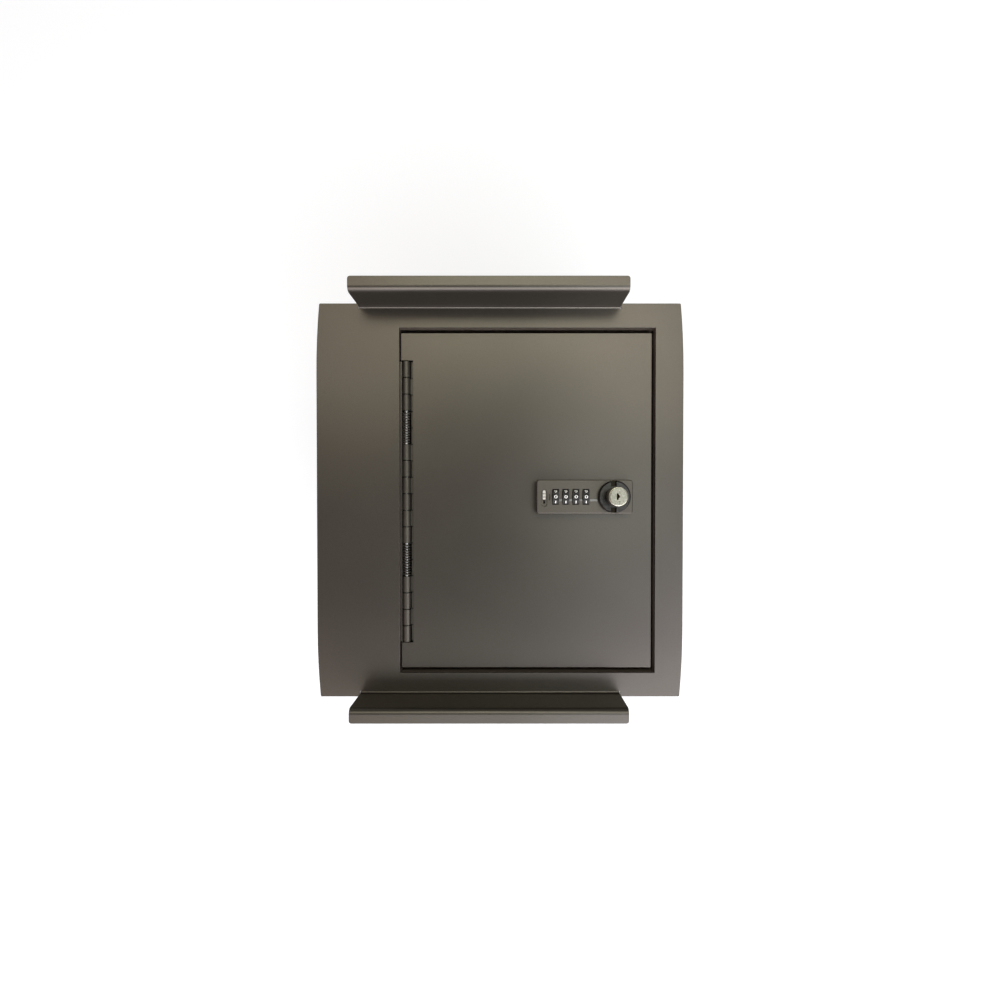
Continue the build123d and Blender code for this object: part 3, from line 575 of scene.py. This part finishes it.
def bead_tree():
    """Geometry Nodes: drops laid one over the next along a seam."""
    tree = bpy.data.node_groups.new("weld_beads", "GeometryNodeTree")
    tree.interface.new_socket("Seam", in_out="INPUT", socket_type="NodeSocketGeometry")
    for name, kind, value in (
        ("Pitch", "NodeSocketFloat", BEAD_PITCH),
        ("Width", "NodeSocketFloat", BEAD_WIDTH),
        ("Seed", "NodeSocketInt", 7),
        ("Finish", "NodeSocketMaterial", finishes["powder_coat"]),
    ):
        socket = tree.interface.new_socket(name, in_out="INPUT", socket_type=kind)
        socket.default_value = value
    tree.interface.new_socket("Beads", in_out="OUTPUT", socket_type="NodeSocketGeometry")

    nodes, links = tree.nodes, tree.links
    given = nodes.new("NodeGroupInput")
    result = nodes.new("NodeGroupOutput")
    curve = nodes.new("GeometryNodeMeshToCurve")
    links.new(given.outputs["Seam"], curve.inputs["Mesh"])
    points = nodes.new("GeometryNodeCurveToPoints")
    points.mode = "LENGTH"
    links.new(curve.outputs["Curve"], points.inputs["Curve"])
    links.new(given.outputs["Pitch"], points.inputs["Length"])
    drop = nodes.new("GeometryNodeMeshUVSphere")
    drop.inputs["Segments"].default_value = BEAD_SEGMENTS
    drop.inputs["Rings"].default_value = BEAD_RINGS
    radius = nodes.new("ShaderNodeMath")
    radius.operation = "MULTIPLY"
    radius.inputs[1].default_value = 0.5
    links.new(given.outputs["Width"], radius.inputs[0])
    links.new(radius.outputs["Value"], drop.inputs["Radius"])
    smooth = nodes.new("GeometryNodeSetShadeSmooth")
    links.new(drop.outputs["Mesh"], smooth.inputs["Geometry"])
    size = nodes.new("FunctionNodeRandomValue")
    size.data_type = "FLOAT"
    size.inputs["Min"].default_value = BEAD_LEAST
    size.inputs["Max"].default_value = 1.0
    links.new(given.outputs["Seed"], size.inputs["Seed"])
    place = nodes.new("GeometryNodeInstanceOnPoints")
    links.new(points.outputs["Points"], place.inputs["Points"])
    links.new(smooth.outputs["Geometry"], place.inputs["Instance"])
    links.new(points.outputs["Rotation"], place.inputs["Rotation"])
    links.new(size.outputs[1], place.inputs["Scale"])
    real = nodes.new("GeometryNodeRealizeInstances")
    links.new(place.outputs["Instances"], real.inputs["Geometry"])
    paint = nodes.new("GeometryNodeSetMaterial")
    links.new(real.outputs["Geometry"], paint.inputs["Geometry"])
    links.new(given.outputs["Finish"], paint.inputs["Material"])
    links.new(paint.outputs["Geometry"], result.inputs["Beads"])
    return tree


def stitches(start, end, length=STITCH_LENGTH, gap=STITCH_GAP):
    """Even stitches between two points, with one at each end."""
    run = (end - start).length
    way = (end - start).normalized()
    count = max(2, round((run + gap) / (length + gap)))
    step = (run - length) / (count - 1)
    return [(start + way * step * i, start + way * (step * i + length)) for i in range(count)]


def weld(name, seams, body, slot, width=BEAD_WIDTH, seed=7):
    """Beads along straight seams, as one piece."""
    line = bpy.data.meshes.new(name)
    points = [p for seam in seams for p in seam]
    line.from_pydata(points, [(2 * i, 2 * i + 1) for i in range(len(seams))], [])
    holder = bpy.data.objects.new(name + "_line", line)
    bpy.context.scene.collection.objects.link(holder)
    modifier = holder.modifiers.new("beads", "NODES")
    modifier.node_group = beads
    sockets = {item.name: item.identifier for item in beads.interface.items_tree if item.in_out == "INPUT"}
    modifier[sockets["Pitch"]] = BEAD_PITCH * width / BEAD_WIDTH
    modifier[sockets["Width"]] = width
    modifier[sockets["Seed"]] = seed
    modifier[sockets["Finish"]] = finishes[slot]
    bpy.context.view_layer.update()
    made = bpy.data.meshes.new_from_object(holder.evaluated_get(bpy.context.evaluated_depsgraph_get()))
    holder.modifiers.clear()
    bpy.data.objects.remove(holder)
    bpy.data.meshes.remove(line)
    made.name = name
    return as_piece(name, made, finishes[slot], body)


def weld_the_box():
    """The box's four upright corners, and the stitches that hang it under the plate."""
    low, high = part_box("box_shell")
    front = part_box("box_end_front")[0].y
    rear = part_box("box_end_rear")[1].y
    under = high.z
    sink = 0.35 * BEAD_WIDTH
    corners = []
    for x in (low.x + sink, high.x - sink):
        for y in (low.y, high.y):
            corners.append((Vector((x, y, CORNER_FOOT)), Vector((x, y, under - CORNER_TOP))))
    weld("box_corner_welds", corners, "safe_body", "powder_coat", seed=3)

    rim = []
    drop = 0.2 * BEAD_WIDTH
    level = under - drop
    for x in (low.x - drop, high.x + drop):
        rim += stitches(Vector((x, low.y + SHELL_INSET, level)), Vector((x, high.y - SHELL_INSET, level)))
    for y in (front - drop, rear + drop):
        rim += stitches(Vector((low.x + END_INSET, y, level)), Vector((high.x - END_INSET, y, level)))
    weld("plate_stitch_welds", rim, "safe_body", "powder_coat", width=PLATE_BEAD, seed=5)


def weld_the_frame_leaf():
    """The hinge's frame leaf to its packing strip, along its lower edge."""
    low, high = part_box("hinge_frame_leaf")
    start = Vector((low.x, low.y + HINGE_INSET, low.z))
    end = Vector((low.x, high.y - HINGE_INSET, low.z))
    seams = stitches(start, end, length=HINGE_STITCH, gap=HINGE_STITCH_GAP)
    weld("hinge_leaf_welds", seams, "safe_body", "hinge_coat", width=HINGE_BEAD, seed=11)


def weld_the_stops():
    """The strike angle and the two door stops to the box's walls."""
    low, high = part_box("strike_angle")
    start = Vector((high.x, low.y + STOP_INSET, low.z))
    seams = stitches(start, Vector((high.x, high.y - STOP_INSET, low.z)), length=STOP_STITCH)
    for node in ("door_stop_front", "door_stop_rear"):
        low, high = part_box(node)
        y = low.y if low.y < -abs(high.y) else high.y
        start = Vector((low.x + STOP_INSET, y, low.z))
        seams += stitches(start, Vector((high.x - STOP_INSET, y, low.z)), length=STOP_STITCH)
    weld("door_stop_welds", seams, "safe_body", "powder_coat", width=STOP_BEAD, seed=13)


def weld_the_door():
    """The hinge's door leaf and the stiffening angles to the underside of the panel."""
    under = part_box("door_panel")[1].z - SHEET
    low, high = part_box("hinge_door_leaf")
    level = under - LEAF_WELD_DEPTH
    start = Vector((high.x, low.y + HINGE_INSET, level))
    end = Vector((high.x, high.y - HINGE_INSET, level))
    seams = stitches(start, end, length=HINGE_STITCH, gap=HINGE_STITCH_GAP)
    weld("door_leaf_welds", seams, "door", "hinge_coat", width=HINGE_BEAD, seed=17)

    low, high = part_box("door_stiffeners")
    margin = STIFFENER_WIDTH + STOP_INSET
    seams = []
    for y in (low.y + STIFFENER_WIDTH, high.y - STIFFENER_WIDTH):
        start = Vector((low.x + STOP_INSET, y, under))
        seams += stitches(start, Vector((high.x - margin, y, under)), length=STOP_STITCH)
    inner_x = high.x - STIFFENER_WIDTH
    start = Vector((inner_x, low.y + margin, under))
    seams += stitches(start, Vector((inner_x, high.y - margin, under)), length=STOP_STITCH)
    weld("door_stiffener_welds", seams, "door", "powder_coat", width=STOP_BEAD, seed=19)


# Studio

def softbox(name, azimuth, lean, size, power, colour):
    """A square area light that faces the lid. lean is its angle from straight up, both in degrees."""
    lamp = bpy.data.lights.new(name, "AREA")
    lamp.shape = "SQUARE"
    lamp.size = size
    lamp.energy = power
    lamp.color = colour
    holder = bpy.data.objects.new(name, lamp)
    bpy.context.scene.collection.objects.link(holder)
    turn = math.radians(azimuth)
    lean = math.radians(lean)
    way = Vector((math.sin(lean) * math.cos(turn), math.sin(lean) * math.sin(turn), math.cos(lean)))
    place = Matrix.Translation(SOFTBOX_TARGET + SOFTBOX_DISTANCE * way)
    holder.matrix_world = place @ way.to_track_quat("Z", "Y").to_matrix().to_4x4()
    holder.visible_camera = False


def build_floor():
    """A pale floor under the box."""
    floor = bpy.data.meshes.new("floor")
    half = FLOOR_HALF
    corners = [(-half, -half, 0), (half, -half, 0), (half, half, 0), (-half, half, 0)]
    floor.from_pydata(corners, [], [(0, 1, 2, 3)])
    floor.materials.append(studio_floor())
    sweep = bpy.data.objects.new("floor", floor)
    bpy.context.scene.collection.objects.link(sweep)


def build_world():
    """A dim fill for the object, behind it a plain pale backdrop."""
    world = bpy.data.worlds.new("studio")
    world.use_nodes = True
    nodes, links = world.node_tree.nodes, world.node_tree.links
    fill = nodes["Background"]
    fill.inputs["Color"].default_value = FILL_COLOUR
    fill.inputs["Strength"].default_value = FILL_STRENGTH
    backdrop = nodes.new("ShaderNodeBackground")
    backdrop.inputs["Color"].default_value = BACKDROP_COLOUR
    seen = nodes.new("ShaderNodeLightPath")
    either = nodes.new("ShaderNodeMixShader")
    links.new(seen.outputs["Is Camera Ray"], either.inputs["Fac"])
    links.new(fill.outputs["Background"], either.inputs[1])
    links.new(backdrop.outputs["Background"], either.inputs[2])
    links.new(either.outputs["Shader"], nodes["World Output"].inputs["Surface"])
    bpy.context.scene.world = world


def build_lights():
    """Small softboxes high up for the lid, and large ones low down for the walls."""
    softbox("top_softbox", 0, 15, 0.34, 0.92, (0.84, 0.95, 1.0))
    softbox("high_rear_right_softbox", 45, 28, 0.4, 1.78, (1.0, 0.97, 0.93))
    softbox("high_rear_softbox", 90, 28, 0.4, 1.81, (0.97, 1.0, 0.85))
    softbox("high_rear_left_softbox", 135, 28, 0.4, 1.12, (1.0, 0.92, 0.81))
    softbox("front_softbox", 270, 40, 0.7, 2.09, (0.9, 0.98, 1.0))
    softbox("front_right_softbox", 315, 40, 0.7, 3.45, (0.79, 0.79, 1.0))
    softbox("low_front_left_softbox", 225, 55, 1.0, 3.46, (1.0, 0.79, 0.79))
    softbox("low_front_softbox", 270, 55, 1.0, 5.63, (0.93, 0.92, 1.0))
    softbox("low_front_right_softbox", 315, 55, 1.0, 5.63, WHITE)
    softbox("side_front_softbox", 270, 72, 1.0, 3.55, (0.79, 0.79, 1.0))
    softbox("side_front_right_softbox", 315, 72, 1.0, 4.57, WHITE)
    bpy.context.scene.view_settings.view_transform = "Standard"
    bpy.context.scene.view_settings.look = "None"


def build_camera():
    """Straight above, as in the photograph, leaning a little towards the front."""
    camera = bpy.data.cameras.new("photo_camera")
    camera.sensor_width = SENSOR_WIDTH
    focal_pixels = PIXELS_PER_METRE * CAMERA_HEIGHT
    camera.lens = SENSOR_WIDTH * focal_pixels / PHOTO_WIDTH
    camera.clip_start = CAMERA_NEAREST
    camera.clip_end = CAMERA_FURTHEST
    camera.shift_x = -CAMERA_X * PIXELS_PER_METRE / PHOTO_WIDTH
    camera.shift_y = CAMERA_LIFT - math.tan(CAMERA_TILT) * focal_pixels / PHOTO_WIDTH
    holder = bpy.data.objects.new("photo_camera", camera)
    bpy.context.scene.collection.objects.link(holder)
    plate_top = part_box("box_shell")[1].z + SHEET
    place = Matrix.Translation((CAMERA_X, 0.0, plate_top + CAMERA_HEIGHT))
    holder.matrix_world = place @ Matrix.Rotation(CAMERA_TILT, 4, "X")
    bpy.context.scene.camera = holder


figure_paint = number_paint()
beads = bead_tree()

finish_frame()
for number in range(1, DIALS + 1):
    dial_figures(f"dial_{number}", f"dial_wheel_{number}", figure_paint)
weld_the_box()
weld_the_frame_leaf()
weld_the_stops()
weld_the_door()
build_floor()
build_world()
build_lights()
build_camera()
